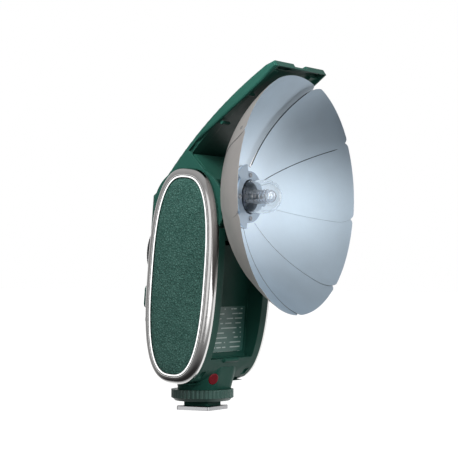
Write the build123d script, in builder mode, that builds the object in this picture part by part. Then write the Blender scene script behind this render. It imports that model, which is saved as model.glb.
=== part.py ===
from build123d import *
import os
from math import asin, copysign, cos, radians, sin

# A small speedlight with a folding fan reflector. Millimetres, +Z up.
# The origin is the centre of the foot plate's bottom face and the flash points along -Y.

# ---- driving dimensions --------------------------------------------------------------------
LEAN = 4.84  # the body leans forward by this angle
BODY_Y, BODY_Z = -4.67, 64.6  # centre of the oval side panels
LEATHER_HALF_W, LEATHER_HALF_H = 14.2, 46.45  # half sizes of the leather oval
OVAL_POWER = 2.736  # a superellipse: 2 is an ellipse, more is squarer
TRIM_W = 0.8  # bright outline round the leather
GROOVE_W = 0.35  # shadow gap between the outline and the frame
FRAME_HALF_W = 18.75  # outer half width of the frame, and of the body front
FRAME_X, FACE_X = 25.2, 30.1  # the frame starts and ends at these distances from the middle
BACKING_X = 28.4  # the leather and its outline are glued on at this distance

CORE_BACK = 22.7  # the body's flat back, measured from the panel centre
WALL = 2.0  # thickness of the body shells
PARTING = 3.0  # where the front and back shells meet
RECESS_FLOOR, RECESS_HALF_W, RECESS_BOTTOM = -10.5, 19.5, -38.5
HINGE_UP = 32.25  # height of the tilt axis above the panel centre
EAR_R, SEAT_R = 19.3, 19.7  # round ears of the head, and the hollow they turn in

HOOD_HALF_W, HOOD_WALL = 25.0, 2.0
SHAFT_R, BUSH_R = 3.0, 5.0
RUNNING = 0.05  # radial running clearance of the turning fits

LAMP_Z, APEX_Y = 102.3, -20.6  # lamp axis height, and the bowl's rearmost point
BOWL_R, RIM_R = 67.0, 56.6  # radius of the bowl's surface, and of its rim
BLADES, BLADE_PITCH, BLADE_SPAN = 9, 40.0, 45.0
BLADE_T, BLADE_STEP = 0.15, 0.22  # sheet thickness, and distance from sheet to sheet
RIM_STEP = 0.08  # each blade's rim is a little smaller than the last one's
SLEEVE_R, LAMP_BORE_R, GLASS_R = 11.4, 8.4, 8.0
PLATE_F, PLATE_T = 5.4, 0.8  # front retaining plate, measured forward of the bowl's apex
GLASS_TIP = 22.4  # front end of the dome

FOOT_W, FOOT_L, FOOT_T = 18.6, 18.2, 2.0
POST_W = 13.4
RING_R, RING_BORE_R = 15.1, 11.0
RING_BOTTOM, RING_TOP = 4.4, 9.9
NECK_BOTTOM = 10.0
PIN_Y, PIN_R = -5.0, 1.0

DIAL_UP, DIAL_R, DIAL_T = 9.5, 15.0, 5.3
BAR_UP, BAR_H, BAR_HALF_W, BAR_PROUD = -12.0, 11.2, 20.5, 1.3
SWITCH_X, BUTTON_X, LIGHT_X = 0.0, 13.0, -13.5
PORT_BOTTOM, PORT_H, PORT_HALF_W = -33.0, 10.0, 9.0
PORT_HINGE, PORT_PIN_R, FLAP_GAP = (19.4, -31.7), 0.5, 0.2
BOSS_X, BOSS_UPS = 19.6, (8.5, -22.5)

FORWARD = (0, -1, 0)
LEAN_COS, LEAN_SIN = cos(radians(LEAN)), sin(radians(LEAN))
BACKWARD = (0, LEAN_COS, LEAN_SIN)

# The body's side view: x runs back, y runs up the leaning body, z is the row's +X.
SIDE = Plane(origin=(0, BODY_Y, BODY_Z), x_dir=BACKWARD, z_dir=(1, 0, 0))
# The body's back face, seen from behind: x runs to the right, y up, z outward.
BACK = Plane(origin=SIDE.from_local_coords((CORE_BACK, 0, 0)), x_dir=(-1, 0, 0), z_dir=BACKWARD)
# The head's side view, centred on the tilt axis: x runs back, y up.
HEAD = Plane(origin=SIDE.from_local_coords((0, HINGE_UP, 0)), x_dir=(0, 1, 0), z_dir=(1, 0, 0))
# The lamp, seen from the front: x is the row's +X, y up, z forward from the bowl's apex.
LAMP = Plane(origin=(0, APEX_Y, LAMP_Z), x_dir=(1, 0, 0), z_dir=FORWARD)

# The light sensor's window, low on the front left; z points out of it.
SENSOR = Plane(origin=(-9.2, -11.9, 15.3), x_dir=(0.93, -0.36, 0), z_dir=(-0.345, -0.89, -0.30))
WINDOW_R = 2.9

LEFT, RIGHT = -1, 1
os.makedirs("parts", exist_ok=True)


def save(part, label):
    """Name a finished piece and write it as its own STEP file."""
    part.label = label
    export_step(part, f"parts/{label}.step")


def oval_points(half_w, half_h, first, last, count=12):
    """Points of a superellipse, count to each quarter turn, from angle first to angle last."""
    steps = round(count * (last - first) / 90)
    angles = [radians(first + (last - first) * i / steps) for i in range(steps + 1)]
    points = []
    for angle in angles:
        across, up = round(cos(angle), 9), round(sin(angle), 9)
        x = half_w * copysign(abs(across) ** (2 / OVAL_POWER), across)
        y = half_h * copysign(abs(up) ** (2 / OVAL_POWER), up)
        points.append((x, y))
    return points


def oval(half_w):
    """A closed oval, parallel to the edge of the leather."""
    half_h = LEATHER_HALF_H + half_w - LEATHER_HALF_W
    with BuildSketch() as outline:
        with BuildLine():
            Spline(*oval_points(half_w, half_h, 0, 360)[:-1], periodic=True)
        make_face()
    return outline.sketch


def body_outline(inset):
    """The body's side outline, moved in by inset."""
    front, back = FRAME_HALF_W - inset, CORE_BACK - inset
    half_h = LEATHER_HALF_H + front - LEATHER_HALF_W
    heel_end = (20.3 - 0.98 * inset, -33 + 0.18 * inset)
    toe_end = (13.6 - 0.78 * inset, -46 + 0.62 * inset)
    with BuildSketch() as outline:
        with BuildLine():
            Spline(*oval_points(front, half_h, 90, 270), tangents=[(-1, 0), (1, 0)])
            heel = TangentArc((back, -6), heel_end, tangent=(0, -1))
            toe = TangentArc(heel_end, toe_end, tangent=heel % 1)
            TangentArc(toe_end, (0, -half_h), tangent=toe % 1)
            Polyline((back, -6), (back, 37 - 0.4 * inset), (15 - inset, 44.6 - inset), (0, half_h))
        make_face()
    return outline.sketch


def fluted_face(radius, count, flute_r, depth):
    """A disc with round grooves about its rim."""
    Circle(radius)
    with PolarLocations(radius + flute_r - depth, count):
        Circle(flute_r, mode=Mode.SUBTRACT)


def side_plane(side, distance):
    """The side view, moved out to the given distance on the left or the right."""
    return SIDE.offset(side * distance)


# ---- body shells ---------------------------------------------------------------------------
BOSS_R, SCREW_R, HEAD_R, HEAD_H = 2.4, 0.9, 1.7, 1.2
HOLLOW_HALF_W = 21.0
REAR = PARTING + 40  # anything past the back of the body
boss_spots = [(x, up) for x in (-BOSS_X, BOSS_X) for up in BOSS_UPS]

with BuildPart() as front_shell:
    with BuildSketch(SIDE):
        add(body_outline(0))
        with Locations((PARTING, 0)):
            Rectangle(60, 120, align=(Align.MAX, Align.CENTER), mode=Mode.INTERSECT)
    extrude(amount=FRAME_X, both=True)
    with BuildSketch(HEAD):
        Circle(SEAT_R)
    extrude(amount=FRAME_X, both=True, mode=Mode.SUBTRACT)
    # The recess that takes the folded head, open to the front and the top.
    with BuildSketch(SIDE):
        with Locations((RECESS_FLOOR, RECESS_BOTTOM)):
            Rectangle(40, 100, align=(Align.MAX, Align.MIN))
    extrude(amount=RECESS_HALF_W, both=True, mode=Mode.SUBTRACT)
    # The hollow behind the recess floor.
    with BuildSketch(SIDE):
        add(body_outline(WALL))
        with Locations((RECESS_FLOOR + WALL, 0)):
            Rectangle(60, 120, align=(Align.MIN, Align.CENTER), mode=Mode.INTERSECT)
        with Locations((0, HINGE_UP)):
            Circle(SEAT_R + WALL, mode=Mode.SUBTRACT)
    extrude(amount=HOLLOW_HALF_W, both=True, mode=Mode.SUBTRACT)
    # The catch lip below the recess, which the hood's notch snaps over.
    with BuildSketch(SIDE):
        with Locations((-14.3, RECESS_BOTTOM - 0.9)):
            Ellipse(1.3, 1.1)
    extrude(amount=6.5, both=True)
    # Two small thumb slots under the front corners.
    for side in (LEFT, RIGHT):
        with BuildSketch(SIDE.offset(side * 18.2)):
            with Locations(Location((-11.6, -46.2, 0), (0, 0, -45))):
                Ellipse(2.6, 1.2)
        extrude(amount=side * 3.8, mode=Mode.SUBTRACT)
    # The light sensor's socket.
    with BuildSketch(SENSOR.offset(-6)):
        Circle(WINDOW_R)
    extrude(amount=20, mode=Mode.SUBTRACT)
    # Screw bosses with pilot holes.
    with BuildSketch(BACK.offset(RECESS_FLOOR + WALL - CORE_BACK - 0.5)):
        with Locations(*boss_spots):
            Circle(BOSS_R)
    extrude(amount=PARTING - RECESS_FLOOR - WALL + 0.5)
    with BuildSketch(BACK.offset(PARTING - CORE_BACK)):
        with Locations(*boss_spots):
            Circle(SCREW_R)
    extrude(amount=-8, mode=Mode.SUBTRACT)
save(front_shell.part, "front_shell")

SHAFT_BORE = SHAFT_R + RUNNING
with BuildPart() as back_shell:
    with BuildSketch(SIDE):
        add(body_outline(0))
        with Locations((PARTING, 0)):
            Rectangle(60, 120, align=(Align.MIN, Align.CENTER), mode=Mode.INTERSECT)
    extrude(amount=FRAME_X, both=True)
    long_edges = [
        edge
        for edge in back_shell.edges()
        if abs(abs(edge.center().X) - FRAME_X) < 0.01
        and SIDE.to_local_coords(edge.center()).X > 10
    ]
    fillet(long_edges, radius=6.5)
    with BuildSketch(HEAD):
        Circle(SEAT_R)
    extrude(amount=FRAME_X, both=True, mode=Mode.SUBTRACT)
    with BuildSketch(SIDE):
        add(body_outline(WALL))
        with Locations((0, HINGE_UP)):
            Circle(SEAT_R + WALL, mode=Mode.SUBTRACT)
    extrude(amount=HOLLOW_HALF_W - 1, both=True, mode=Mode.SUBTRACT)
    # The raised control bar.
    with BuildSketch(BACK.offset(-1.0)):
        with Locations((0, BAR_UP)):
            RectangleRounded(2 * BAR_HALF_W, BAR_H, 2.5)
    extrude(amount=1.0 + BAR_PROUD)
    # Screw bosses, with counterbores that sink the heads.
    with BuildSketch(BACK.offset(PARTING - CORE_BACK)):
        with Locations(*boss_spots):
            Circle(BOSS_R)
    extrude(amount=CORE_BACK - PARTING - 1.0)
    with BuildSketch(BACK.offset(PARTING - CORE_BACK)):
        with Locations(*boss_spots):
            Circle(SCREW_R + 0.15)
    extrude(amount=REAR, mode=Mode.SUBTRACT)
    with BuildSketch(BACK.offset(-2.0)):
        with Locations(*boss_spots):
            Circle(HEAD_R + 0.1)
    extrude(amount=REAR, mode=Mode.SUBTRACT)
    # Openings for the dial shaft, the switch, the button and the ready light.
    with BuildSketch(BACK.offset(-8.0)):
        with Locations((0, DIAL_UP)):
            Circle(SHAFT_BORE)
        with Locations((SWITCH_X, BAR_UP)):
            Rectangle(12.2, 4.2)
        with Locations((BUTTON_X, BAR_UP)):
            Circle(3.6)
        with Locations((LIGHT_X, BAR_UP)):
            Circle(1.3)
    extrude(amount=REAR, mode=Mode.SUBTRACT)
    # The socket pocket, closed by the port cover.
    with BuildSketch(SIDE):
        with Locations((12.0, PORT_BOTTOM)):
            Rectangle(40, PORT_H, align=(Align.MIN, Align.MIN))
    extrude(amount=PORT_HALF_W, both=True, mode=Mode.SUBTRACT)
    with BuildSketch(SIDE):
        with Locations(PORT_HINGE):
            Circle(PORT_PIN_R + RUNNING)
    extrude(amount=PORT_HALF_W + 1.3, both=True, mode=Mode.SUBTRACT)
save(back_shell.part, "back_shell")

SCREW_L = 24.0
with BuildPart() as case_screws:
    with BuildSketch(BACK.offset(-2.0)):
        with Locations(*boss_spots):
            Circle(HEAD_R)
    extrude(amount=HEAD_H)
    with BuildSketch(BACK.offset(-2.0 + HEAD_H)):
        for spot in boss_spots:
            with Locations(spot):
                Rectangle(2.2, 0.5)
                Rectangle(0.5, 2.2)
    extrude(amount=-0.6, mode=Mode.SUBTRACT)
    with BuildSketch(BACK.offset(-2.0)):
        with Locations(*boss_spots):
            Circle(SCREW_R)
    extrude(amount=-SCREW_L)
save(case_screws.part, "case_screws")

LABEL_HALF_W, LABEL_LOW, LABEL_HIGH = 17.0, -35.8, -14.0
with BuildPart() as label_plate:
    with BuildSketch(SIDE):
        with Locations((RECESS_FLOOR - 0.3, LABEL_LOW)):
            Rectangle(0.3, LABEL_HIGH - LABEL_LOW, align=(Align.MIN, Align.MIN))
    extrude(amount=LABEL_HALF_W, both=True)
    fillet(label_plate.edges().filter_by(Axis((0, 0, 0), BACKWARD)), radius=1.2)
save(label_plate.part, "label_plate")

# ---- side panels ---------------------------------------------------------------------------
TRIM_HALF_W = LEATHER_HALF_W + TRIM_W
FRAME_INNER = TRIM_HALF_W + GROOVE_W
BEVEL = ((26.9, FRAME_HALF_W), (29.0, FRAME_HALF_W - 1.15), (FACE_X, FRAME_INNER + 0.2))


def side_name(side, word):
    return ("left_" if side == LEFT else "right_") + word


for side in (LEFT, RIGHT):
    with BuildPart() as side_frame:
        with BuildSketch(side_plane(side, FRAME_X)):
            add(oval(FRAME_HALF_W))
        extrude(amount=side * (BEVEL[0][0] - FRAME_X))
        for distance, half_w in BEVEL:
            with BuildSketch(side_plane(side, distance)):
                add(oval(half_w))
        loft()
        with BuildSketch(side_plane(side, FRAME_X)):
            add(oval(FRAME_INNER))
        extrude(amount=side * (FACE_X - FRAME_X + 1), mode=Mode.SUBTRACT)
    save(side_frame.part, side_name(side, "frame"))

    with BuildPart() as side_backing:
        with BuildSketch(side_plane(side, FRAME_X)):
            add(oval(FRAME_INNER - 0.1))
            with Locations((0, HINGE_UP)):
                Circle(BUSH_R, mode=Mode.SUBTRACT)
        extrude(amount=side * (BACKING_X - FRAME_X))
    save(side_backing.part, side_name(side, "side_plate"))

    with BuildPart() as side_trim:
        with BuildSketch(side_plane(side, BACKING_X)):
            add(oval(TRIM_HALF_W))
        extrude(amount=side * (FACE_X - BACKING_X))
        with BuildSketch(side_plane(side, BACKING_X)):
            add(oval(LEATHER_HALF_W + 0.05))
        extrude(amount=side * (FACE_X - BACKING_X), mode=Mode.SUBTRACT)
    save(side_trim.part, side_name(side, "trim"))

    with BuildPart() as side_leather:
        with BuildSketch(side_plane(side, BACKING_X)):
            add(oval(LEATHER_HALF_W))
        extrude(amount=side * (FACE_X - BACKING_X - 0.2))
    save(side_leather.part, side_name(side, "leather"))

    with BuildPart() as bush:
        with BuildSketch(HEAD.offset(side * FRAME_X)):
            Circle(BUSH_R)
            Circle(SHAFT_BORE, mode=Mode.SUBTRACT)
        extrude(amount=side * (BACKING_X - FRAME_X))
    save(bush.part, side_name(side, "bush"))

# ---- neck and foot -------------------------------------------------------------------------
NECK_TOP = 25.0

with BuildPart() as core_block:
    with BuildSketch(SIDE):
        add(body_outline(0))
    extrude(amount=FRAME_X, both=True)

with BuildPart() as neck:
    with BuildSketch(Plane.XY.offset(NECK_BOTTOM)):
        with Locations((0, -1.2)):
            RectangleRounded(28.2, 20.8, 9)
    with BuildSketch(Plane.XY.offset(NECK_TOP)):
        with Locations((0, -2.4)):
            RectangleRounded(34, 25.6, 11)
    loft()
    add(core_block.part, mode=Mode.SUBTRACT)
    with BuildSketch(SENSOR.offset(-6)):
        Circle(WINDOW_R)
    extrude(amount=20, mode=Mode.SUBTRACT)
neck_solid = neck.part.solids().sort_by(SortBy.VOLUME)[-1]
save(Part(neck_solid.wrapped), "neck")

with BuildPart() as sensor_window:
    with BuildSketch(SENSOR.offset(-1.6)):
        Circle(WINDOW_R - 0.05)
    extrude(amount=1.7)
    fillet(sensor_window.faces().sort_by(Axis((0, 0, 0), SENSOR.z_dir))[-1].edges(), radius=0.4)
save(sensor_window.part, "sensor_window")

with BuildPart() as slave_sensor:
    with BuildSketch(SENSOR.offset(-5.8)):
        Circle(2.2)
    extrude(amount=2.6)
    with BuildSketch(SENSOR.offset(-3.2)):
        Circle(1.5)
    extrude(amount=1.2)
save(slave_sensor.part, "slave_sensor")

INSULATOR_R, CONTACT_R = 2.9, 1.5
FLANGE_R, FLANGE_TOP = 12.2, 5.2
with BuildPart() as foot_pedestal:
    with BuildSketch(Plane.XY.offset(FOOT_T)):
        RectangleRounded(POST_W, POST_W, 1.0)
    extrude(amount=RING_BOTTOM - FOOT_T)
    with BuildSketch(Plane.XY.offset(RING_BOTTOM)):
        Circle(FLANGE_R)
    extrude(amount=FLANGE_TOP - RING_BOTTOM)
    with BuildSketch(Plane.XY.offset(FLANGE_TOP)):
        Circle(RING_BORE_R)
    extrude(amount=NECK_BOTTOM - FLANGE_TOP)
    with BuildSketch(Plane.XY.offset(0.15)):
        Circle(INSULATOR_R)
    extrude(amount=FOOT_T)
    with BuildSketch(Plane.XY):
        Circle(CONTACT_R)
    extrude(amount=7, mode=Mode.SUBTRACT)
    with BuildSketch(Plane.XY):
        with Locations((0, PIN_Y)):
            Circle(PIN_R + RUNNING)
    extrude(amount=8, mode=Mode.SUBTRACT)
save(foot_pedestal.part, "foot_pedestal")

with BuildPart() as foot_plate:
    with BuildSketch(Plane.XY):
        RectangleRounded(FOOT_W, FOOT_L, 0.8)
        Circle(INSULATOR_R, mode=Mode.SUBTRACT)
        with Locations((0, PIN_Y)):
            Circle(PIN_R + RUNNING, mode=Mode.SUBTRACT)
    extrude(amount=FOOT_T)
    outer_rims = foot_plate.edges().filter_by_position(Axis.Z, FOOT_T - 0.01, FOOT_T + 0.01)
    chamfer([edge for edge in outer_rims if edge.bounding_box().max.X > 5], length=0.3)
save(foot_plate.part, "foot_plate")

with BuildPart() as foot_contact:
    with BuildSketch(Plane.XY.offset(0.1)):
        Circle(CONTACT_R)
    extrude(amount=6.5)
save(foot_contact.part, "foot_contact")

with BuildPart() as lock_pin:
    with BuildSketch(Plane.XY.offset(0.1)):
        with Locations((0, PIN_Y)):
            Circle(PIN_R)
    extrude(amount=5)
    chamfer(lock_pin.edges().sort_by(Axis.Z)[0], length=0.3)
save(lock_pin.part, "lock_pin")

KNURL_BOTTOM = 5.8
with BuildPart() as lock_ring:
    with BuildSketch(Plane.XY.offset(KNURL_BOTTOM)):
        fluted_face(RING_R, count=44, flute_r=0.75, depth=0.4)
    extrude(amount=RING_TOP - KNURL_BOTTOM)
    with Locations((0, 0, (RING_BOTTOM + KNURL_BOTTOM) / 2)):
        Cone(13.2, RING_R - 0.5, KNURL_BOTTOM - RING_BOTTOM)
    with BuildSketch(Plane.XY.offset(RING_BOTTOM)):
        Circle(RING_BORE_R + RUNNING)
    extrude(amount=RING_TOP, mode=Mode.SUBTRACT)
    with BuildSketch(Plane.XY.offset(RING_BOTTOM)):
        Circle(FLANGE_R + 0.1)
    extrude(amount=FLANGE_TOP + 0.1 - RING_BOTTOM, mode=Mode.SUBTRACT)
save(lock_ring.part, "lock_ring")

# ---- controls on the back ------------------------------------------------------------------
DIAL_GAP = 0.4
with BuildPart() as dial:
    with BuildSketch(BACK.offset(DIAL_GAP)):
        with Locations((0, DIAL_UP)):
            fluted_face(DIAL_R, count=72, flute_r=0.5, depth=0.3)
    extrude(amount=DIAL_T - 0.5)
    with BuildSketch(BACK.offset(DIAL_GAP + DIAL_T - 0.5)):
        with Locations((0, DIAL_UP)):
            Circle(DIAL_R - 0.35)
    extrude(amount=0.5, taper=45)
    with BuildSketch(BACK.offset(DIAL_GAP + DIAL_T)):
        with Locations((0, DIAL_UP)):
            Circle(DIAL_R - 2.4)
    extrude(amount=-1.2, mode=Mode.SUBTRACT)
    with BuildSketch(BACK.offset(-6.0)):
        with Locations((0, DIAL_UP)):
            Circle(SHAFT_R)
    extrude(amount=6.0 + DIAL_GAP)
save(dial.part, "dial")

with BuildPart() as dial_insert:
    with BuildSketch(BACK.offset(DIAL_GAP + DIAL_T - 1.2)):
        with Locations((0, DIAL_UP)):
            Circle(DIAL_R - 2.5)
    extrude(amount=0.9)
save(dial_insert.part, "dial_insert")

BOARD_BACK = 13.6
with BuildPart() as dial_encoder:
    with BuildSketch(SIDE):
        with Locations((BOARD_BACK, DIAL_UP)):
            Rectangle(6.6, 10, align=(Align.MIN, Align.CENTER))
    extrude(amount=6, both=True)
    with BuildSketch(BACK.offset(-6.2)):
        with Locations((0, DIAL_UP)):
            Circle(SHAFT_BORE)
    extrude(amount=10, mode=Mode.SUBTRACT)
save(dial_encoder.part, "dial_encoder")

with BuildPart() as mode_switch:
    with BuildSketch(BACK.offset(-1.0)):
        with Locations((SWITCH_X, BAR_UP)):
            RectangleRounded(6.0, 4.0, 0.5)
    extrude(amount=1.0 + BAR_PROUD + 1.1)
    with BuildSketch(BACK.offset(BAR_PROUD + 1.1)):
        with Locations((SWITCH_X, BAR_UP)):
            with GridLocations(1.6, 0, 3, 1):
                Rectangle(0.5, 3.0)
    extrude(amount=0.25)
save(mode_switch.part, "mode_switch")

with BuildPart() as test_button:
    with BuildSketch(BACK.offset(-1.0)):
        with Locations((BUTTON_X, BAR_UP)):
            Circle(3.5)
    extrude(amount=1.0 + BAR_PROUD + 0.7)
    fillet(test_button.faces().sort_by(Axis((0, 0, 0), BACKWARD))[-1].edges(), radius=0.35)
save(test_button.part, "test_button")

with BuildPart() as ready_light:
    with BuildSketch(BACK.offset(-2.5)):
        with Locations((LIGHT_X, BAR_UP)):
            Circle(1.25)
    extrude(amount=2.5 + BAR_PROUD + 0.2)
save(ready_light.part, "ready_light")

with BuildPart() as port_cover:
    with BuildSketch(SIDE):
        add(body_outline(0))
        with Locations((17.6, PORT_HINGE[1])):
            flap_h = PORT_BOTTOM + PORT_H - FLAP_GAP - PORT_HINGE[1]
            Rectangle(20, flap_h, align=(Align.MIN, Align.MIN), mode=Mode.INTERSECT)
        with Locations(PORT_HINGE):
            Circle(1.05)
    extrude(amount=PORT_HALF_W - FLAP_GAP, both=True)
    with BuildSketch(SIDE):
        with Locations(PORT_HINGE):
            Circle(PORT_PIN_R)
    extrude(amount=PORT_HALF_W + 1.2, both=True)
save(port_cover.part, "port_cover")

PORT_BACK = 17.2
with BuildPart() as charge_port:
    with BuildSketch(BACK.offset(PORT_BACK - CORE_BACK)):
        with Locations((-3.0, PORT_BOTTOM + PORT_H / 2)):
            RectangleRounded(9.0, 3.3, 1.4)
            RectangleRounded(8.4, 2.7, 1.2, mode=Mode.SUBTRACT)
    extrude(amount=-4.8)
    with BuildSketch(BACK.offset(PORT_BACK - CORE_BACK - 0.6)):
        with Locations((-3.0, PORT_BOTTOM + PORT_H / 2)):
            Rectangle(6.6, 0.7)
    extrude(amount=-4.2)
    with BuildSketch(BACK.offset(PORT_BACK - CORE_BACK - 4.8)):
        with Locations((-3.0, PORT_BOTTOM + PORT_H / 2)):
            RectangleRounded(9.0, 3.3, 1.4)
    extrude(amount=0.6)
save(charge_port.part, "charge_port")

with BuildPart() as sync_jack:
    with BuildSketch(BACK.offset(PORT_BACK - CORE_BACK - 4.8)):
        with Locations((5.4, PORT_BOTTOM + PORT_H / 2)):
            Circle(2.6)
    extrude(amount=4.8)
    with BuildSketch(BACK.offset(PORT_BACK - CORE_BACK)):
        with Locations((5.4, PORT_BOTTOM + PORT_H / 2)):
            Circle(1.3)
    extrude(amount=-4.0, mode=Mode.SUBTRACT)
save(sync_jack.part, "sync_jack")

# ---- inside the body -----------------------------------------------------------------------
HOLLOW_FRONT = RECESS_FLOOR + WALL
with BuildPart() as battery:
    with BuildSketch(SIDE):
        with Locations((HOLLOW_FRONT + 0.6, -26.0)):
            Rectangle(8.6, 34, align=(Align.MIN, Align.MIN))
    extrude(amount=15.5, both=True)
    fillet(battery.edges().filter_by(Axis.X), radius=1.5)
save(battery.part, "battery")

with BuildPart() as main_board:
    with BuildSketch(SIDE):
        with Locations((BOARD_BACK - 1.6, -20.0)):
            Rectangle(1.6, 33.5, align=(Align.MIN, Align.MIN))
    extrude(amount=16.5, both=True)
save(main_board.part, "main_board")

with BuildPart() as flash_capacitor:
    with BuildSketch(SIDE.offset(-18)):
        with Locations((0, -35.5)):
            Circle(6.8)
    extrude(amount=36)
    fillet(flash_capacitor.edges().filter_by(GeomType.CIRCLE), radius=0.8)
save(flash_capacitor.part, "flash_capacitor")

with BuildPart() as trigger_coil:
    with BuildSketch(SIDE):
        with Locations((BOARD_BACK - 1.6, -14)):
            Rectangle(7.5, 8, align=(Align.MAX, Align.CENTER))
    extrude(amount=5, both=True)
save(trigger_coil.part, "trigger_coil")

# ---- head: hood, tilt shaft and lamp base --------------------------------------------------
# Side view points, from the tilt axis: the roof's outer arc and its edges.
ROOF_ROOT_ANGLE = 47.7
ROOF_MID, ROOF_END = (-13.4, 43.3), (-41.5, 65.2)
TIP_TOP, TIP_FRONT = (-46.2, 67.1), (-47.9, 64.6)
WALL_MID, APEX, WALL_ROOT = (-19.9, 42.9), (0.6, 27.8), (-9.6, 16.4)
SKIN_END_ANGLE = -38.0
LEDGE_FROM, LEDGE_T = 16.0, 3.3
RIB_SPOTS = ((-16.9, 39.8), (-30.3, 52.6))


def on_circle(radius, angle):
    return (radius * cos(radians(angle)), radius * sin(radians(angle)))


def inward(point, distance):
    """A point moved off the roof's outer arc, square to the line from its root to its end."""
    return (point[0] - 0.682 * distance, point[1] - 0.731 * distance)


bowl_centre = LAMP.from_local_coords((0, 0, BOWL_R))
root_outer = on_circle(EAR_R, ROOF_ROOT_ANGLE)
root_inner = on_circle(EAR_R - HOOD_WALL, ROOF_ROOT_ANGLE)
with BuildPart() as hood:
    # The two side walls, each with a round ear.
    for side in (LEFT, RIGHT):
        with BuildSketch(HEAD.offset(side * (HOOD_HALF_W - HOOD_WALL))):
            with BuildLine():
                ThreePointArc(root_outer, ROOF_MID, ROOF_END)
                Polyline(ROOF_END, TIP_TOP, TIP_FRONT)
                ThreePointArc(TIP_FRONT, WALL_MID, APEX)
                Polyline(APEX, WALL_ROOT, (0, 0), root_outer)
            make_face()
            Circle(EAR_R)
            Circle(SHAFT_R, mode=Mode.SUBTRACT)
        extrude(amount=side * HOOD_WALL)
    # The roof, which runs on round the back of the ears.
    with BuildSketch(HEAD):
        with BuildLine():
            ThreePointArc(root_outer, ROOF_MID, ROOF_END)
            Polyline(ROOF_END, TIP_TOP, TIP_FRONT, inward(ROOF_END, HOOD_WALL))
            ThreePointArc(inward(ROOF_END, HOOD_WALL), inward(ROOF_MID, HOOD_WALL), root_inner)
            ThreePointArc(root_inner, (EAR_R - HOOD_WALL, 0), on_circle(EAR_R - HOOD_WALL, SKIN_END_ANGLE))
            Line(on_circle(EAR_R - HOOD_WALL, SKIN_END_ANGLE), on_circle(EAR_R, SKIN_END_ANGLE))
            ThreePointArc(on_circle(EAR_R, SKIN_END_ANGLE), (EAR_R, 0), root_outer)
        make_face()
    extrude(amount=HOOD_HALF_W, both=True)
    outer_edges = [
        edge
        for edge in hood.edges()
        if abs(abs(edge.center().X) - HOOD_HALF_W) < 0.01
        and HEAD.to_local_coords(edge.center()).Y > 40
    ]
    fillet(outer_edges, radius=1.2)
    # A ledge under the roof along each wall, crossed by two low ribs.
    for side in (LEFT, RIGHT):
        with BuildSketch(HEAD.offset(side * LEDGE_FROM)):
            with BuildLine():
                ThreePointArc(*[inward(point, LEDGE_T) for point in (root_outer, ROOF_MID, ROOF_END)])
                Line(inward(ROOF_END, LEDGE_T), inward(ROOF_END, HOOD_WALL - 0.2))
                ThreePointArc(*[inward(point, HOOD_WALL - 0.2) for point in (ROOF_END, ROOF_MID, root_outer)])
                Line(inward(root_outer, HOOD_WALL - 0.2), inward(root_outer, LEDGE_T))
            make_face()
            with Locations(*RIB_SPOTS):
                Circle(0.9)
        extrude(amount=side * (HOOD_HALF_W - HOOD_WALL - LEDGE_FROM))
    # Shallow pockets on the underside of the two lugs at the tip.
    for side in (LEFT, RIGHT):
        with BuildSketch(HEAD.offset(side * 8.5)):
            with Locations(Location((-45.4, 64.15, 0), (0, 0, -10.2))):
                Rectangle(3.2, 1.6)
        extrude(amount=side * 12.5, mode=Mode.SUBTRACT)
    # The finger notch between the lugs.
    with BuildSketch(HEAD):
        with Locations((-50.0, 65.7)):
            Rectangle(7.0, 6.0, align=(Align.MIN, Align.MIN))
    extrude(amount=6.0, both=True, mode=Mode.SUBTRACT)
    # The ears are relieved where the turning blades pass.
    with Locations(bowl_centre):
        Sphere(BOWL_R + 0.3, mode=Mode.SUBTRACT)
save(hood.part, "hood")

with BuildPart() as tilt_shaft:
    with BuildSketch(HEAD.offset(-BACKING_X + 0.2)):
        Circle(SHAFT_R)
        Circle(SHAFT_R - 1, mode=Mode.SUBTRACT)
    extrude(amount=2 * BACKING_X - 0.4)
save(tilt_shaft.part, "tilt_shaft")

BASE_FRONT = 1.0  # the lamp base's front face is this far behind the bowl's apex
base_front_x = HEAD.to_local_coords(Vector(0, APEX_Y + BASE_FRONT, LAMP_Z)).X
with BuildPart() as lamp_base:
    with BuildSketch(HEAD):
        with BuildLine():
            Polyline(
                (-2.2, 25.4), (-10.1, 15.9), (base_front_x, 13.4), (base_front_x, -6.0), (-11.0, -15.3),
                (-8.4, -15.3), (-4.4, -8.0), (-4.4, 15.0), (-0.2, 22.0), (-0.9, 24.2), close=True
            )
        make_face()
    extrude(amount=HOOD_HALF_W - HOOD_WALL - 0.1, both=True)
    with BuildSketch(LAMP.offset(-20)):
        Circle(LAMP_BORE_R)
    extrude(amount=30, mode=Mode.SUBTRACT)
save(lamp_base.part, "lamp_base")

# ---- reflector hub -------------------------------------------------------------------------
with BuildPart() as hub_sleeve:
    with BuildSketch(LAMP.offset(-BASE_FRONT)):
        Circle(SLEEVE_R + 2.2)
        Circle(LAMP_BORE_R, mode=Mode.SUBTRACT)
    extrude(amount=BASE_FRONT + 0.6)
    with BuildSketch(LAMP):
        Circle(SLEEVE_R)
        Circle(LAMP_BORE_R, mode=Mode.SUBTRACT)
    extrude(amount=PLATE_F)
    with BuildSketch(LAMP.offset(PLATE_F)):
        with PolarLocations(10.35, 4):
            Circle(0.6)
    extrude(amount=-3.5, mode=Mode.SUBTRACT)
save(hub_sleeve.part, "hub_sleeve")

EAR_ANGLES, EAR_SWEEP = (-28.0, 92.0, 212.0), 38.0


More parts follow.
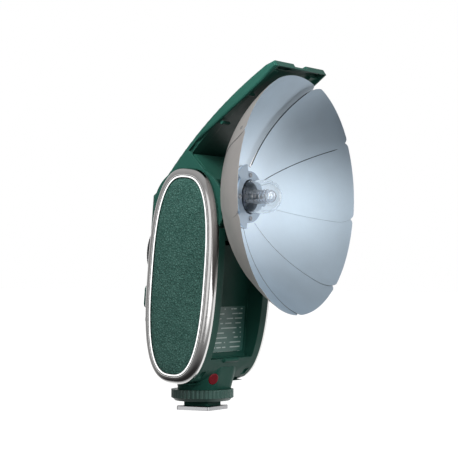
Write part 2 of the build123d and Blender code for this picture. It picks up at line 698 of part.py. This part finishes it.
def sector(outer_r, sweep, corner_r):
    """A sector of a disc, pointing up, with rounded outer corners."""
    reach, rise = outer_r * sin(radians(sweep / 2)), outer_r * cos(radians(sweep / 2))
    with BuildSketch() as outline:
        with BuildLine():
            Polyline((-reach, rise), (0, 0), (reach, rise))
            ThreePointArc((reach, rise), (0, outer_r), (-reach, rise))
        make_face()
        fillet(outline.vertices().group_by(Axis.Y)[-1], radius=corner_r)
    return outline.sketch


with BuildPart() as hub_plate:
    with BuildSketch(LAMP.offset(PLATE_F)):
        Circle(12.3)
        for middle in EAR_ANGLES:
            add(sector(15.8, EAR_SWEEP, 0.8), rotation=-middle)
        Circle(LAMP_BORE_R - 0.05, mode=Mode.SUBTRACT)
        with PolarLocations(10.35, 4):
            Circle(0.65, mode=Mode.SUBTRACT)
    extrude(amount=PLATE_T)
save(hub_plate.part, "hub_plate")

with BuildPart() as hub_screws:
    with BuildSketch(LAMP.offset(PLATE_F + PLATE_T)):
        with PolarLocations(10.35, 4):
            Circle(1.15)
    extrude(amount=0.45)
    with BuildSketch(LAMP.offset(PLATE_F + PLATE_T + 0.45)):
        with PolarLocations(10.35, 4):
            Rectangle(1.5, 0.35)
    extrude(amount=-0.25, mode=Mode.SUBTRACT)
    with BuildSketch(LAMP.offset(PLATE_F + PLATE_T)):
        with PolarLocations(10.35, 4):
            Circle(0.55)
    extrude(amount=-3.2)
save(hub_screws.part, "hub_screws")

WASHER_H = 2.0
with BuildPart() as wave_washer:
    with BuildSketch(LAMP.offset(PLATE_F - 0.05 - WASHER_H)):
        Circle(12.4)
        Circle(SLEEVE_R + 0.1, mode=Mode.SUBTRACT)
    extrude(amount=WASHER_H)
save(wave_washer.part, "wave_washer")

# ---- lamp ----------------------------------------------------------------------------------
SOCKET_FRONT = 1.2
with BuildPart() as lamp_socket:
    with BuildSketch(LAMP.offset(-8)):
        Circle(LAMP_BORE_R - 0.05)
    extrude(amount=8 + SOCKET_FRONT)
    with BuildSketch(LAMP.offset(SOCKET_FRONT)):
        RectangleRounded(4.4, 9.0, 1.0)
    extrude(amount=2.6)
    with BuildSketch(LAMP.offset(-1)):
        with GridLocations(0, 4.2, 1, 2):
            Circle(0.85)
    extrude(amount=8, mode=Mode.SUBTRACT)
save(lamp_socket.part, "lamp_socket")

GLASS_T = 0.8
dome_centre = GLASS_TIP - GLASS_R
with BuildPart() as lamp_glass:
    with BuildSketch(Plane.YZ):
        with Locations(Location((APEX_Y - dome_centre, LAMP_Z))):
            Circle(GLASS_R)
            Circle(GLASS_R - GLASS_T, mode=Mode.SUBTRACT)
            Rectangle(3 * GLASS_R, 3 * GLASS_R, align=(Align.MIN, Align.CENTER), mode=Mode.SUBTRACT)
            Rectangle(3 * GLASS_R, 3 * GLASS_R, align=(Align.CENTER, Align.MAX), mode=Mode.SUBTRACT)
        with Locations((APEX_Y - dome_centre, LAMP_Z + GLASS_R - GLASS_T)):
            Rectangle(dome_centre - SOCKET_FRONT, GLASS_T, align=(Align.MIN, Align.MIN))
    revolve(axis=Axis((0, 0, LAMP_Z), (0, 1, 0)))
save(lamp_glass.part, "lamp_glass")

TUBE_R, LEG_GAP, LEG_TOP = 0.85, 2.1, 17.3
with BuildPart() as flash_tube:
    with BuildLine(LAMP * Plane.YZ) as tube_path:
        Line((LEG_GAP, -1), (LEG_GAP, LEG_TOP))
        ThreePointArc((LEG_GAP, LEG_TOP), (0, LEG_TOP + LEG_GAP), (-LEG_GAP, LEG_TOP))
        Line((-LEG_GAP, LEG_TOP), (-LEG_GAP, -1))
    with BuildSketch(Plane(origin=tube_path.wire() @ 0, z_dir=tube_path.wire() % 0)):
        Circle(TUBE_R)
    sweep(path=tube_path.wire())
save(flash_tube.part, "flash_tube")

WIRE_R = 0.14
coil_start = LAMP.from_local_coords((0, 0, 8.0))
with BuildPart() as trigger_wire:
    with BuildLine() as coil_path:
        Helix(pitch=1.7, height=8.5, radius=3.3, center=coil_start, direction=FORWARD)
    with BuildSketch(Plane(origin=coil_path.wire() @ 0, z_dir=coil_path.wire() % 0)):
        Circle(WIRE_R)
    sweep(path=coil_path.wire(), is_frenet=True)
save(trigger_wire.part, "trigger_wire")

# ---- reflector blades ----------------------------------------------------------------------
RING_OUTER_R = 15.0
CATCH_BLADE, CATCH_ANGLES, CATCH_REACH = 1, (-35.0, -57.0), 54.0
CATCH_PROUD = 0.04

# Two plated catches sit in openings of the second blade, near its rim, nearly flush with its inside.
with BuildPart() as catch_blanks:
    for angle in CATCH_ANGLES:
        lean = asin(CATCH_REACH / BOWL_R)
        spoke = Plane(
            origin=bowl_centre,
            z_dir=(sin(radians(angle)) * sin(lean), cos(lean), cos(radians(angle)) * sin(lean)),
        )
        with BuildSketch(spoke.offset(BOWL_R - 2)):
            RectangleRounded(2.6, 1.8, 0.5)
        extrude(amount=4)

for number in range(BLADES):
    outer_r = BOWL_R - BLADE_STEP * number
    with BuildPart() as blade:
        with BuildSketch(LAMP):
            add(sector(RIM_R - RIM_STEP * number, BLADE_SPAN, 4.5), rotation=BLADE_PITCH * number)
            Circle(RING_OUTER_R)
            Circle(SLEEVE_R + 2 * RUNNING, mode=Mode.SUBTRACT)
        extrude(amount=40)
        with Locations(bowl_centre):
            Sphere(outer_r, mode=Mode.INTERSECT)
            Sphere(outer_r - BLADE_T, mode=Mode.SUBTRACT)
        if number == CATCH_BLADE:
            add(catch_blanks.part, mode=Mode.SUBTRACT)
    save(blade.part, f"blade_{number + 1}")

with BuildPart() as blade_catches:
    add(catch_blanks.part)
    with Locations(bowl_centre):
        Sphere(BOWL_R - BLADE_STEP * CATCH_BLADE, mode=Mode.INTERSECT)
        Sphere(BOWL_R - BLADE_STEP * CATCH_BLADE - BLADE_T - CATCH_PROUD, mode=Mode.SUBTRACT)
save(blade_catches.part, "blade_catches")
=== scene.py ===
"""The looks of a speedlight with a folding fan reflector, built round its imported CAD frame.

Lengths are metres, except those whose names end in _mm or _MM. In the row frame +Z is up and the
flash points along -Y.
"""

import math

import bpy
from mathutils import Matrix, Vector, noise


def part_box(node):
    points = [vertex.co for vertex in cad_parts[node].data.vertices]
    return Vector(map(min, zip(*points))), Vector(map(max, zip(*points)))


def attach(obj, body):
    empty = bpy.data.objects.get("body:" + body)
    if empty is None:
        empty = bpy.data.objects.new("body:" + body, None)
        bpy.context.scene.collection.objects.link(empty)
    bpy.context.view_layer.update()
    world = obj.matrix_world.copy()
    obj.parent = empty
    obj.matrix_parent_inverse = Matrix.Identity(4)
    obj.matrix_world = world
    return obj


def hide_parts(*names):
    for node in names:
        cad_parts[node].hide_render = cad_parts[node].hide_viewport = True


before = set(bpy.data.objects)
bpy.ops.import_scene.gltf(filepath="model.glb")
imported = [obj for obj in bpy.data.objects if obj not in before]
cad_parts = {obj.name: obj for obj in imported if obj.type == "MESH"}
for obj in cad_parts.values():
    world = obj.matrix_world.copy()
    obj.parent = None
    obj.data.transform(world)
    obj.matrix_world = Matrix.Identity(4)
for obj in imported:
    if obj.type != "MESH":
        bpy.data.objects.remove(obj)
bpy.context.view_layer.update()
MM = 0.001
WHITE = (1, 1, 1, 1)
BLACK = (0, 0, 0, 1)


# ---- node helpers --------------------------------------------------------------------------
def rgb(red, green, blue):
    """A linear colour from display values 0 to 255."""
    values = [channel / 255 for channel in (red, green, blue)]
    linear = [v / 12.92 if v <= 0.04045 else ((v + 0.055) / 1.055) ** 2.4 for v in values]
    return (*linear, 1.0)


def dimmed(colour, share):
    """A colour at a share of its brightness."""
    return [channel * share for channel in colour[:3]] + [1]


class Nodes:
    """Adds nodes to a tree. Each input is a plain value or another node's output."""

    def __init__(self, tree):
        self.tree = tree

    def plug(self, value, socket):
        if isinstance(value, bpy.types.NodeSocket):
            self.tree.links.new(value, socket)
        else:
            socket.default_value = value

    def add(self, kind, inputs=None, **settings):
        node = self.tree.nodes.new(kind)
        for key, setting in settings.items():
            setattr(node, key, setting)
        for socket, value in (inputs or {}).items():
            self.plug(value, node.inputs[socket])
        return node

    def calc(self, operation, first, second=0.0):
        inputs = {0: first, 1: second}
        return self.add("ShaderNodeMath", inputs, operation=operation).outputs[0]

    def vector(self, operation, first, second=(0, 0, 0)):
        """The outputs of a vector operation: 0 is a vector and "Value" is a number."""
        inputs = {0: first, 1: second}
        return self.add("ShaderNodeVectorMath", inputs, operation=operation).outputs

    def mix(self, factor, first, second):
        """A blend of two colours."""
        inputs = {0: factor, 6: first, 7: second}
        return self.add("ShaderNodeMix", inputs, data_type="RGBA").outputs[2]

    def remap(self, value, low, high, out_low=0.0, out_high=1.0, ease="LINEAR"):
        inputs = {"Value": value, "From Min": low, "From Max": high,
                  "To Min": out_low, "To Max": out_high}
        return self.add("ShaderNodeMapRange", inputs, interpolation_type=ease).outputs[0]


class Shader(Nodes):
    """A Principled material and the few patterns that this file uses."""

    def __init__(self, name, **values):
        self.material = bpy.data.materials.new(name)
        self.material.use_nodes = True
        super().__init__(self.material.node_tree)
        self.surface = self.tree.nodes["Principled BSDF"].inputs
        self.finish(**values)
        self.position = self.add("ShaderNodeTexCoord").outputs["Object"]

    def finish(self, **values):
        """Plugs values or outputs into the surface's sockets."""
        for socket, value in values.items():
            self.plug(value, self.surface[socket.replace("_", " ")])

    def stretched(self, scale):
        """The object position, scaled by three factors."""
        inputs = {"Vector": self.position, "Scale": scale}
        return self.add("ShaderNodeMapping", inputs).outputs[0]

    def noise(self, size_mm, detail, vector=None):
        """Noise whose blobs are about size_mm wide."""
        inputs = {"Vector": vector or self.position, "Scale": 1000 / size_mm, "Detail": detail,
                  "Roughness": 0.55}
        return self.add("ShaderNodeTexNoise", inputs).outputs["Fac"]

    def cell_walls(self, size_mm):
        """Distance to the nearest wall between cells about size_mm wide."""
        inputs = {"Vector": self.position, "Scale": 1000 / size_mm}
        cells = self.add("ShaderNodeTexVoronoi", inputs, feature="DISTANCE_TO_EDGE")
        return cells.outputs["Distance"]

    def normal(self):
        return self.add("ShaderNodeNewGeometry").outputs["Normal"]

    def rounded(self, radius_mm):
        """Normals that read as a small radius along every hard edge."""
        return self.add("ShaderNodeBevel", {"Radius": radius_mm * MM}, samples=6).outputs[0]

    def edge_mask(self, radius_mm):
        """1 along hard edges and 0 on open faces."""
        turned = self.vector("DOT_PRODUCT", self.rounded(radius_mm), self.normal())["Value"]
        return self.remap(turned, 0.995, 0.85)

    def bump(self, height, depth_mm, strength, normal=None):
        inputs = {"Height": height, "Distance": depth_mm * MM, "Strength": strength}
        if normal:
            inputs["Normal"] = normal
        self.finish(Normal=self.add("ShaderNodeBump", inputs).outputs[0])


def moulded(name, colour, worn, rough=0.5, depth_mm=0.012, **values):
    """Moulded plastic: a fine spark-eroded grain, cloudy colour and slightly rubbed edges."""
    cloud_mm, rub_mm, blotch_mm, grain_mm, edge_mm = 9, 2.5, 5, 0.35, 0.3
    rub_strength, rough_spread = 0.6, 0.07
    shader = Shader(name, Base_Color=colour, Roughness=rough, **values)
    clouds = shader.remap(shader.noise(cloud_mm, 4), 0.3, 0.7)
    tone = shader.mix(clouds, dimmed(colour, 0.93), colour)
    patches = shader.remap(shader.noise(rub_mm, 4), 0.35, 0.7)
    rub = shader.calc("MULTIPLY", shader.edge_mask(edge_mm), patches)
    shader.finish(Base_Color=shader.mix(shader.calc("MULTIPLY", rub, rub_strength), tone, worn))
    shader.finish(Roughness=shader.remap(shader.noise(blotch_mm, 5), 0.25, 0.75,
                                         rough - rough_spread, rough + rough_spread))
    shader.bump(shader.noise(grain_mm, 2), depth_mm, 0.8, shader.rounded(edge_mm))
    return shader


def metal(name, colour, rough, stretch, spread=0.06, depth_mm=0.004, edge_mm=0.12):
    """Metal with a brushed or rolled direction, given as three stretches of its scratches."""
    scratch_mm, smudge_mm, smudge_spread = 1.0, 14, 0.02
    shader = Shader(name, Base_Color=colour, Metallic=1.0, Roughness=rough)
    scratches = shader.noise(scratch_mm, 4, shader.stretched(stretch))
    smudge = shader.noise(smudge_mm, 3)
    clouds = shader.remap(smudge, 0.3, 0.7)
    shader.finish(Base_Color=shader.mix(clouds, dimmed(colour, 0.9), colour))
    fine = shader.remap(scratches, 0.3, 0.7, -spread, spread)
    broad = shader.remap(smudge, 0.3, 0.7, rough - smudge_spread, rough + smudge_spread)
    shader.finish(Roughness=shader.calc("ADD", fine, broad))
    shader.bump(scratches, depth_mm, 0.35, shader.rounded(edge_mm))
    return shader


def label_film():
    """Green film with rows of plain broken lines, which spell nothing."""
    film, ink = rgb(52, 96, 88), rgb(176, 194, 189)
    row_step, row_share = 2.3 * MM, 0.24
    dash_mm, dash_level = 4.5, 0.47
    half_width = 14.5 * MM
    shader = moulded("label_film", film, film, 0.4, depth_mm=0.004)
    axes = shader.add("ShaderNodeSeparateXYZ", {"Vector": shader.position}).outputs
    rows = shader.calc("DIVIDE", axes["Z"], row_step)
    on_row = shader.calc("LESS_THAN", shader.calc("FRACT", rows), row_share)
    row_place = {"X": axes["X"], "Y": shader.calc("FLOOR", rows)}
    along_row = shader.add("ShaderNodeCombineXYZ", row_place).outputs[0]
    dash = shader.calc("GREATER_THAN", shader.noise(dash_mm, 1, along_row), dash_level)
    printed = shader.calc("LESS_THAN", shader.calc("ABSOLUTE", axes["X"]), half_width)
    line = shader.calc("MULTIPLY", shader.calc("MULTIPLY", on_row, dash), printed)
    shader.finish(Base_Color=shader.mix(line, film, ink))
    return shader


# ---- reflector -----------------------------------------------------------------------------
LAMP_CENTRE = (0, -0.0206, 0.1023)
BOWL_CENTRE = (0, -0.0876, 0.1023)  # a point that the blades' inner faces look at
HUB_RADIUS = 16.3 * MM
PAINTED_GLOW_FROM, PAINTED_GLOW_TO = 9 * MM, 46 * MM  # radii between which the painted glow round the lamp fades
PAINTED_GLOW_STRENGTH = 0.62
PAINTED_SEAM_SHADOW = rgb(34, 38, 44)


def dish_plating(name, seam_shadow_share, shadow_lips=()):
    """Satin plating: bluer inside the bowl from a painted reflection, brighter there from a
    painted glow round the lamp, with painted shadow along the seams.

    Each lip is a cut edge's angle, the side it faces and the width of the painted shadow line
    along it.
    """
    shader = metal(name, rgb(206, 214, 222), 0.56, (1, 5, 1), 0.03, 0.002, 0.05)
    calc, vector = shader.calc, shader.vector
    normal = shader.normal()
    from_lamp = vector("SUBTRACT", shader.position, LAMP_CENTRE)[0]
    off_axis = vector("MULTIPLY", from_lamp, (1, 0, 1))[0]
    reach = vector("LENGTH", off_axis)["Value"]
    radial = vector("DOT_PRODUCT", vector("NORMALIZE", off_axis)[0], normal)["Value"]
    from_middle = vector("SUBTRACT", shader.position, BOWL_CENTRE)[0]
    outward = vector("DOT_PRODUCT", vector("NORMALIZE", from_middle)[0], normal)["Value"]

    inside = calc("LESS_THAN", outward, 0.0)
    # The inner faces' bluer tone is a painted reflection of the room; the outer faces keep a
    # warmer tone.
    tone = shader.mix(inside, rgb(226, 222, 219), rgb(192, 207, 219))
    smudge = shader.remap(shader.noise(14, 3), 0.3, 0.7)
    tone = shader.mix(smudge, shader.mix(0.08, tone, BLACK), tone)

    # A blade's side edge faces neither along the bowl's radius nor, as its rim, off the axis.
    through_sheet = calc("LESS_THAN", calc("ABSOLUTE", outward), 0.5)
    seam = calc("MULTIPLY", through_sheet, calc("LESS_THAN", calc("ABSOLUTE", radial), 0.6))
    # The cut edges are darkened towards a painted seam shadow.
    shade = calc("SUBTRACT", 1.0, calc("MULTIPLY", seam, seam_shadow_share))
    # Ambient occlusion paints shade into the narrow openings between stacked blades.
    painted_gap_shade = shader.add("ShaderNodeAmbientOcclusion", {"Distance": 0.7 * MM}, samples=8)
    shade = calc("MULTIPLY", shade, shader.remap(painted_gap_shade.outputs["AO"], 0.2, 0.7))
    hub_zone = calc("LESS_THAN", reach, HUB_RADIUS)
    # Painted shadow lines run along the listed cut edges, but not over the hub.
    for angle, side, width in shadow_lips:
        turn = math.radians(angle)
        across = (side * math.cos(turn), 0, -side * math.sin(turn))
        from_lip = vector("DOT_PRODUCT", off_axis, across)["Value"]
        clear = calc("MAXIMUM", calc("LESS_THAN", from_lip, -width), hub_zone)
        shade = calc("MULTIPLY", shade, clear)
    shader.finish(Base_Color=shader.mix(shade, PAINTED_SEAM_SHADOW, tone))

    # A painted glow round the lamp: the bowl itself emits light, though it is no lamp.
    glow = calc("POWER", shader.remap(reach, PAINTED_GLOW_FROM, PAINTED_GLOW_TO, 1.0, 0.0), 1.6)
    glow = calc("MULTIPLY", calc("MULTIPLY", glow, inside), shade)
    shader.finish(Emission_Strength=calc("MULTIPLY", glow, PAINTED_GLOW_STRENGTH),
                  Emission_Color=rgb(226, 238, 250))
    return shader


# ---- materials, by the record's slots ------------------------------------------------------
GREEN = {"Specular_IOR_Level": 0.05}
looks = {
    "green_shell": moulded("green_moulding", rgb(34, 77, 67), rgb(84, 128, 117), 0.42, **GREEN),
    "green_hood": moulded("green_hood", rgb(34, 74, 65), rgb(96, 140, 128), 0.36, **GREEN),
    "black_plastic": moulded("black_moulding", rgb(38, 40, 41), rgb(70, 72, 73), 0.5),
    "label_grey": label_film(),
    "port_rubber": moulded("port_rubber", rgb(46, 78, 70), rgb(60, 92, 84), 0.7),
    "button_grey": moulded("button_plastic", rgb(150, 152, 152), rgb(190, 190, 190), 0.45),
    "board_green": moulded("board", rgb(26, 90, 50), rgb(26, 90, 50), 0.5),
    "cell_wrap": moulded("cell_wrap", rgb(60, 66, 78), rgb(60, 66, 78), 0.3),
    "silver_frame": metal("frame_lacquer", rgb(200, 199, 198), 0.12, (1.2, 1.2, 1.2), 0.02, 0.001),
    "bright_trim": metal("bright_trim", rgb(240, 240, 240), 0.16, (1, 1, 1), 0.02, 0.001),
    "hub_metal": metal("hub_plating", rgb(190, 203, 216), 0.4, (1, 6, 1)),
    "steel": metal("steel", rgb(166, 166, 168), 0.28, (0.3, 6, 6)),
    "black_metal": moulded("ring_plastic", rgb(44, 78, 70), rgb(90, 118, 110), 0.45),
    "contact_brass": metal("contact_brass", rgb(222, 190, 120), 0.2, (1, 1, 1)),
    "bush_bronze": metal("bush_bronze", rgb(170, 130, 80), 0.4, (1, 1, 1)),
    "dish_metal": dish_plating("dish_plating", 0.2),
    "clear_glass": Shader("lamp_glass", Base_Color=WHITE, Roughness=0.02, IOR=1.46,
                          Transmission_Weight=1.0),
    "tube_glass": Shader("tube_glass", Base_Color=rgb(235, 238, 245), Roughness=0.05, IOR=1.46,
                         Transmission_Weight=0.8),
    "red_window": Shader("red_window", Base_Color=rgb(120, 10, 26), Roughness=0.15,
                         Specular_IOR_Level=0.25, Coat_Weight=0.25),
    "amber_light": Shader("amber_light", Base_Color=rgb(190, 96, 30), Roughness=0.2,
                          Coat_Weight=0.8),
}

# These nodes look different from the rest of their slot.
dark_green = moulded("lamp_base_green", rgb(32, 72, 62), rgb(70, 110, 100), 0.5, **GREEN)
# Blade 9's cut edges, which carry painted shadow lines.
front_blade_shadow_lips = ((62.5, 1, 0.4 * MM), (17.5, -1, 0.6 * MM))
node_looks = {
    "lamp_base": dark_green,
    "foot_pedestal": dark_green,
    "lamp_socket": moulded("socket_moulding", rgb(30, 38, 54), rgb(60, 70, 84), 0.35),
    "blade_9": dish_plating("front_blade_plating", 1.0, front_blade_shadow_lips),
}
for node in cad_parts.values():
    for index, slot in enumerate(node.data.materials):
        look = node_looks.get(node.name) or looks.get(slot.name.split(".")[0])
        if look:
            node.data.materials[index] = look.material

# ---- leather side panels -------------------------------------------------------------------
GRAIN_MM = 1.1  # width of the leather's pebbles
GRAIN_HEIGHT = 0.18 * MM
LEAN = math.radians(4.84)  # of the oval's long axis
OVAL_POWER = 2.736  # of the superellipse: 2 is an ellipse, more is squarer
HALF_WIDTH, HALF_HEIGHT = 14.15 * MM, 46.4 * MM
ROLL_WIDTH, ROLL_DROP = 1.3 * MM, 0.45 * MM  # of the sheet's rounded edge
SHEET_COLUMNS, SHEET_ROWS = 120, 380
GRAIN_SEED = 1


def leather_look():
    shader = Shader("leather", Roughness=0.55, Specular_IOR_Level=0.35)
    clouds = shader.remap(shader.noise(7, 4), 0.3, 0.7)
    tone = shader.mix(clouds, rgb(54, 87, 80), rgb(65, 99, 91))
    # Painted shade darkens the creases between the pebbles; the pebble tops keep the clouded tone.
    raised = shader.remap(shader.cell_walls(GRAIN_MM), 0.0, 0.25)
    shader.finish(Base_Color=shader.mix(raised, rgb(26, 60, 53), tone),
                  Roughness=shader.remap(shader.noise(1.2, 3), 0.3, 0.7, 0.48, 0.64))
    shader.bump(shader.noise(0.45, 4), 0.03, 0.7)
    return shader.material


def oval_share(across, up, half_width, half_height):
    """0 at the oval's middle and 1 on its edge."""
    powers = abs(across / half_width) ** OVAL_POWER + abs(up / half_height) ** OVAL_POWER
    return powers ** (1 / OVAL_POWER)


def oval_point(u, v):
    """The oval's point for a point of the square from -1 to 1."""
    disc_x, disc_y = u * math.sqrt(1 - v * v / 2), v * math.sqrt(1 - u * u / 2)
    share = math.hypot(disc_x, disc_y)
    if share < 1e-9:
        return 0.0, 0.0
    across, up = disc_x / share, disc_y / share
    reach = share / oval_share(across, up, 1.0, 1.0)
    return across * reach * HALF_WIDTH, up * reach * HALF_HEIGHT


def pebble(point):
    """Height from 0 to 1 of the leather grain at a point given in millimetres."""
    warp = noise.noise_vector(point * 0.6) * 0.5
    nearest, second = noise.voronoi((point + warp) / GRAIN_MM)[0][:2]
    return min(1.0, (second - nearest) * 2.2)


def leather_panel(side, body, material):
    """A leather sheet that fills the trim, with a rolled edge and a raised grain."""
    low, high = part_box(f"{side}_leather")
    out = -1 if side == "left" else 1
    middle = (low + high) / 2
    valleys = max(abs(low.x), abs(high.x)) - GRAIN_HEIGHT
    back = min(abs(low.x), abs(high.x)) + 0.05 * MM
    stride = SHEET_COLUMNS + 1
    vertices, faces = [], []

    def place(across, up, height):
        return Vector((out * height,
                       middle.y + across * math.cos(LEAN) - up * math.sin(LEAN),
                       middle.z + across * math.sin(LEAN) + up * math.cos(LEAN)))

    def add_face(face):
        faces.append(face if out > 0 else face[::-1])

    for row in range(SHEET_ROWS + 1):
        for column in range(stride):
            across, up = oval_point(2 * column / SHEET_COLUMNS - 1, 2 * row / SHEET_ROWS - 1)
            inset = (1 - oval_share(across, up, HALF_WIDTH, HALF_HEIGHT)) * HALF_WIDTH
            roll = max(0.0, 1 - inset / ROLL_WIDTH)
            grain = pebble(Vector((across, up, out * 0.05)) / MM)
            height = valleys + GRAIN_HEIGHT * grain - ROLL_DROP * roll * roll
            vertices.append(place(across, up, height))
    for row in range(SHEET_ROWS):
        for column in range(SHEET_COLUMNS):
            corner = row * stride + column
            add_face((corner, corner + 1, corner + stride + 1, corner + stride))

    # The side wall and the back close the sheet.
    ring = list(range(stride))
    ring += [row * stride + SHEET_COLUMNS for row in range(1, SHEET_ROWS + 1)]
    ring += [SHEET_ROWS * stride + column for column in range(SHEET_COLUMNS - 1, -1, -1)]
    ring += [row * stride for row in range(SHEET_ROWS - 1, 0, -1)]
    base = len(vertices)
    for index in ring:
        vertices.append(Vector((out * back, vertices[index].y, vertices[index].z)))
    for i in range(len(ring)):
        j = (i + 1) % len(ring)
        add_face((ring[j], ring[i], base + i, base + j))
    add_face([base + i for i in range(len(ring))][::-1])

    mesh = bpy.data.meshes.new(f"{side}_leather_skin")
    mesh.from_pydata(vertices, [], faces)
    mesh.shade_smooth()
    mesh.materials.append(material)
    piece = bpy.data.objects.new(f"{side}_leather_skin", mesh)
    bpy.context.scene.collection.objects.link(piece)
    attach(piece, body)
    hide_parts(f"{side}_leather")


noise.seed_set(GRAIN_SEED)
leather = leather_look()
leather_panel("left", "body", leather)
leather_panel("right", "body", leather)

# ---- floor, white to the camera only: it hardly lights the object from below ----------------
FLOOR_REACH = 4
scene = bpy.context.scene
scene.view_settings.view_transform = "Standard"

floor_mesh = bpy.data.meshes.new("floor")
floor_signs = ((-1, -1), (1, -1), (1, 1), (-1, 1))
floor_corners = [(x * FLOOR_REACH, y * FLOOR_REACH, 0) for x, y in floor_signs]
floor_mesh.from_pydata(floor_corners, [], [(0, 1, 2, 3)])
floor = bpy.data.objects.new("floor", floor_mesh)
floor.location.z = -0.2 * MM
floor.visible_glossy = False
scene.collection.objects.link(floor)
paper = Shader("paper", Base_Color=(0.1, 0.1, 0.1, 1), Roughness=0.9)
paper.finish(Emission_Color=WHITE,
             Emission_Strength=paper.add("ShaderNodeLightPath").outputs["Is Camera Ray"])
floor_mesh.materials.append(paper.material)

# ---- world: white to the camera, and a room of soft walls to everything else ----------------
DIFFUSE_LEVEL, GLOSSY_LEVEL = 0.9, 2.0
world = bpy.data.worlds.new("studio")
world.use_nodes = True
scene.world = world
room = Nodes(world.node_tree)
rays = room.add("ShaderNodeLightPath").outputs
ray_direction = room.add("ShaderNodeTexCoord").outputs["Generated"]


def wall(direction, edge, core, outer, inner):
    """Brightness that grows from outer to inner as rays point more along the direction.

    Edge and core are the cosines between which it grows.
    """
    along = room.vector("DOT_PRODUCT", ray_direction, Vector(direction).normalized())["Value"]
    return room.remap(along, edge, core, outer, inner, ease="SMOOTHSTEP")


front_wall = wall((-0.2, -0.98, 0.1), 0.84, 0.97, 0.0, 1.0)
left_wall = wall((-0.86, 0.5, 0.05), 0.93, 0.985, 0.0, 0.7)
camera_wall = wall((-0.9, -0.43, 0.05), 0.93, 0.985, 0.0, 0.5)
open_room = wall((0.35, -0.2, 0.45), -1.0, 0.6, 0.16, 0.29)
low_right = wall((0.84, 0.2, -0.5), 0.4, 0.9, 0.0, 0.55)
dark_below = wall((0, 0, 1), -0.8, -0.15, 0.1, 1.0)

walls = room.calc("ADD", room.calc("ADD", front_wall, left_wall),
                  room.calc("ADD", open_room, camera_wall))
mirrored_only = room.calc("MULTIPLY", low_right, rays["Is Glossy Ray"])
light = room.calc("ADD", room.calc("MULTIPLY", walls, dark_below), mirrored_only)
level = room.remap(rays["Is Glossy Ray"], 0.0, 1.0, DIFFUSE_LEVEL, GLOSSY_LEVEL)
seen = room.mix(rays["Is Camera Ray"], room.calc("MULTIPLY", light, level), WHITE)
room.plug(seen, world.node_tree.nodes["Background"].inputs["Color"])


# ---- lamps ---------------------------------------------------------------------------------
def soft_lamp(name, position, target, size, watts):
    """A square area light that metal doesn't mirror."""
    lamp = bpy.data.lights.new(name, "AREA")
    lamp.shape = "SQUARE"
    lamp.size, lamp.energy = size, watts
    holder = bpy.data.objects.new(name, lamp)
    holder.location = position
    aim = Vector(target) - Vector(position)
    holder.rotation_euler = aim.to_track_quat("-Z", "Y").to_euler()
    holder.visible_glossy = False
    scene.collection.objects.link(holder)


soft_lamp("key_top", (-0.17, -0.06, 0.25), (0, -0.02, 0.09), 0.12, 0.8)
soft_lamp("front_fill", (-0.35, -0.8, 0.35), (0, -0.02, 0.08), 0.4, 3.5)

# ---- camera, at the photograph's viewing angle ----------------------------------------------
camera_data = bpy.data.cameras.new("camera")
camera_data.lens, camera_data.sensor_width = 141.96, 36
camera_data.clip_start, camera_data.clip_end = 0.01, 20
camera = bpy.data.objects.new("camera", camera_data)
camera.location = (-0.7486, -0.4561, 0.0678)
camera.rotation_euler = (math.radians(91.27), 0, math.radians(-59.49))
scene.collection.objects.link(camera)
scene.camera = camera
